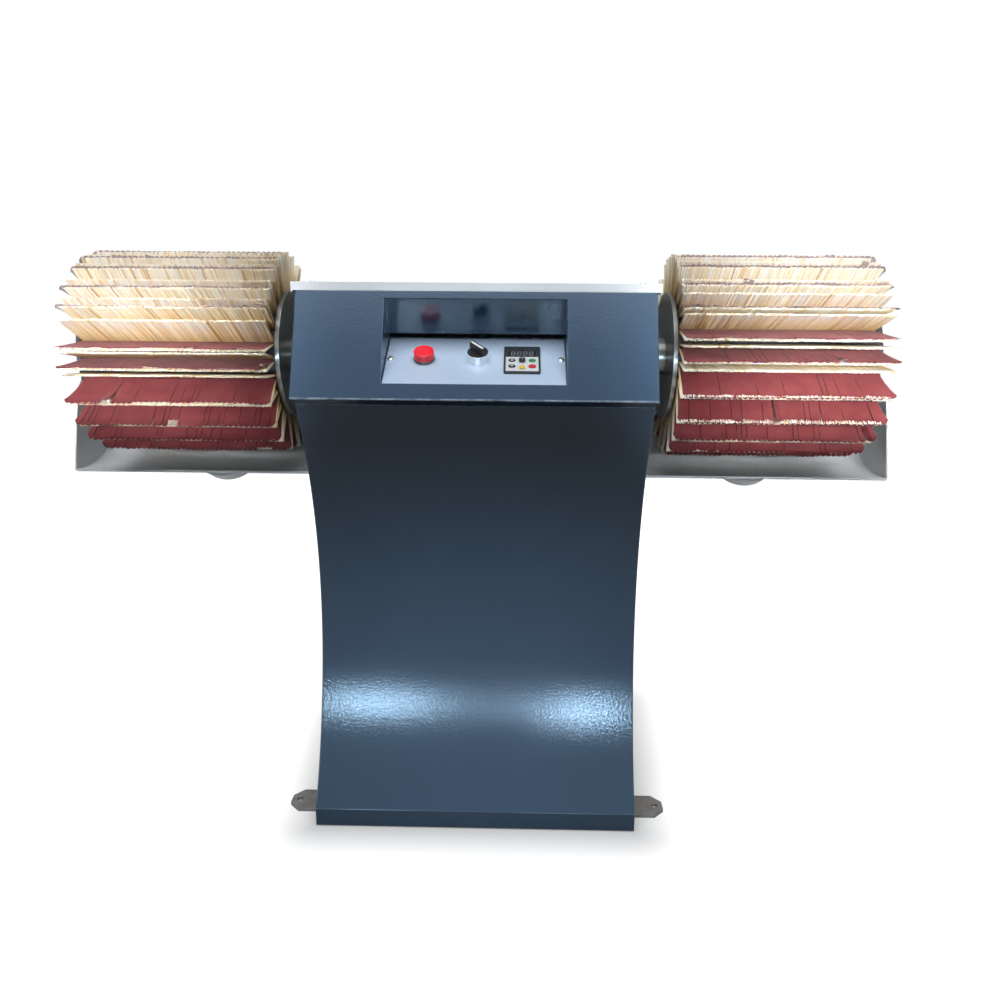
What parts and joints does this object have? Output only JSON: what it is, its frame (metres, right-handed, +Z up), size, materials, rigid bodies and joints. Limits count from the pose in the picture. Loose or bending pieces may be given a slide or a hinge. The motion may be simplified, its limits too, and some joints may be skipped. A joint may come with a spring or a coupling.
{
  "type": "double-ended brush sander on a column",
  "caption": "Upright floor column with a concave front, a control recess in its sloping head, a sanding brush at each end of a horizontal spindle, and a dust hood behind each brush.",
  "frame": {"origin": "midway between the two floor anchor holes, at floor level", "axes": "+X to the viewer's right along the spindle, +Y to the rear, +Z up; the front faces -Y"},
  "size_m": [1.232, 0.4614, 0.8727],
  "materials": {
    "blue_paint": "semi-gloss slate blue enamel with a fine orange-peel texture",
    "pale_paint": "semi-gloss pale grey-white enamel",
    "panel_paint": "glossy light blue-grey enamel",
    "floor_bar_steel": "plain hot-rolled flat bar, slightly worn",
    "bright_steel": "turned and brushed steel",
    "black_steel": "satin black",
    "bristle": "matte cream plant-fibre bristle",
    "abrasive_cloth": "matte red-brown abrasive cloth",
    "zinc": "zinc-plated",
    "frame_paint": "matte dark primer",
    "bearing_iron": "painted casting",
    "bearing_steel": "ground steel",
    "motor_paint": "satin grey",
    "pulley_iron": "machined casting",
    "belt_rubber": "matte black",
    "black_plastic": "fine satin black",
    "grey_plastic": "satin light grey",
    "display_window": "glossy black window",
    "green_key": "satin green",
    "red_key": "satin red",
    "yellow_key": "satin yellow",
    "red_lens": "glossy red",
    "lamp_collar": "dark metal",
    "chrome_bezel": "polished"
  },
  "bodies": {
    "column": {"floor_bars": "floor_bar_steel", "base_frame": "frame_paint", "left_side_panel": "pale_paint", "right_side_panel": "pale_paint", "front_skin": "blue_paint", "head_front_panel": "blue_paint", "control_recess": "blue_paint", "control_panel": "panel_paint", "control_panel_screws": "zinc", "top_cover": "pale_paint", "top_cover_screws": "zinc", "rear_panel": "pale_paint", "rear_panel_screws": "zinc", "cable_gland": "black_plastic", "bearing_brackets": "frame_paint", "bearing_housings": "bearing_iron", "bearing_inserts": "bearing_steel", "bearing_bolts": "zinc", "motor_housing": "motor_paint", "motor_end_shield": "motor_paint", "motor_fan_cowl": "motor_paint", "motor_terminal_box": "motor_paint", "motor_plate": "frame_paint", "motor_bolts": "zinc", "v_belt": "belt_rubber", "inverter_unit": "grey_plastic", "left_hood_shell": "pale_paint", "right_hood_shell": "pale_paint", "left_hood_end_plate": "pale_paint", "right_hood_end_plate": "pale_paint", "left_dust_port": "pale_paint", "right_dust_port": "pale_paint", "hood_bolts": "zinc", "pilot_lamp_body": "lamp_collar", "pilot_lamp_lens": "red_lens", "selector_body": "chrome_bezel", "keypad_body": "black_plastic", "keypad_face": "grey_plastic", "keypad_display": "display_window"},
    "spindle": {"spindle_shaft": "bright_steel", "spindle_pulley": "pulley_iron", "left_brush_hub": "black_steel", "right_brush_hub": "black_steel", "left_bristle_strips": "bristle", "right_bristle_strips": "bristle", "left_abrasive_flaps": "abrasive_cloth", "right_abrasive_flaps": "abrasive_cloth", "inner_flanges": "bright_steel", "outer_flanges": "black_steel", "clamp_nuts": "zinc"},
    "motor_rotor": {"motor_shaft": "bright_steel", "motor_pulley": "pulley_iron", "motor_fan": "black_plastic"},
    "selector_knob": {"selector_knob": "black_plastic"},
    "keypad_dial": {"keypad_dial": "black_plastic"},
    "key_up": {"key_up": "black_plastic"},
    "key_down": {"key_down": "black_plastic"},
    "key_run": {"key_run": "green_key"},
    "key_stop": {"key_stop": "red_key"},
    "key_function": {"key_function": "yellow_key"}
  },
  "joints": [
    {"name": "spindle_spin", "type": "hinge", "parent": "column", "child": "spindle", "pos_m": [0, 0.068, 0.727], "axis": [1, 0, 0], "continuous": true},
    {"name": "motor_spin", "type": "hinge", "parent": "column", "child": "motor_rotor", "pos_m": [0, 0.21, 0.144], "axis": [1, 0, 0], "continuous": true},
    {"name": "selector_turn", "type": "hinge", "parent": "column", "child": "selector_knob", "pos_m": [0.0032, -0.01852, 0.72781], "axis": [0, -0.5, 0.866], "range_deg": [-90, 0]},
    {"name": "dial_turn", "type": "hinge", "parent": "column", "child": "keypad_dial", "pos_m": [0.065, -0.02441, 0.72441], "axis": [0, -0.5, 0.866], "range_deg": [-140, 140]},
    {"name": "key_up_press", "type": "slide", "parent": "column", "child": "key_up", "axis": [0, 0.5, -0.866], "range_m": [0, 0.0006], "stiffness_N_per_m": 300},
    {"name": "key_down_press", "type": "slide", "parent": "column", "child": "key_down", "axis": [0, 0.5, -0.866], "range_m": [0, 0.0006], "stiffness_N_per_m": 300},
    {"name": "key_run_press", "type": "slide", "parent": "column", "child": "key_run", "axis": [0, 0.5, -0.866], "range_m": [0, 0.0006], "stiffness_N_per_m": 300},
    {"name": "key_stop_press", "type": "slide", "parent": "column", "child": "key_stop", "axis": [0, 0.5, -0.866], "range_m": [0, 0.0006], "stiffness_N_per_m": 300},
    {"name": "key_function_press", "type": "slide", "parent": "column", "child": "key_function", "axis": [0, 0.5, -0.866], "range_m": [0, 0.0006], "stiffness_N_per_m": 300}
  ],
  "couplings": [
    {"joint": "motor_spin", "follows": "spindle_spin", "ratio": 1.5625}
  ]
}
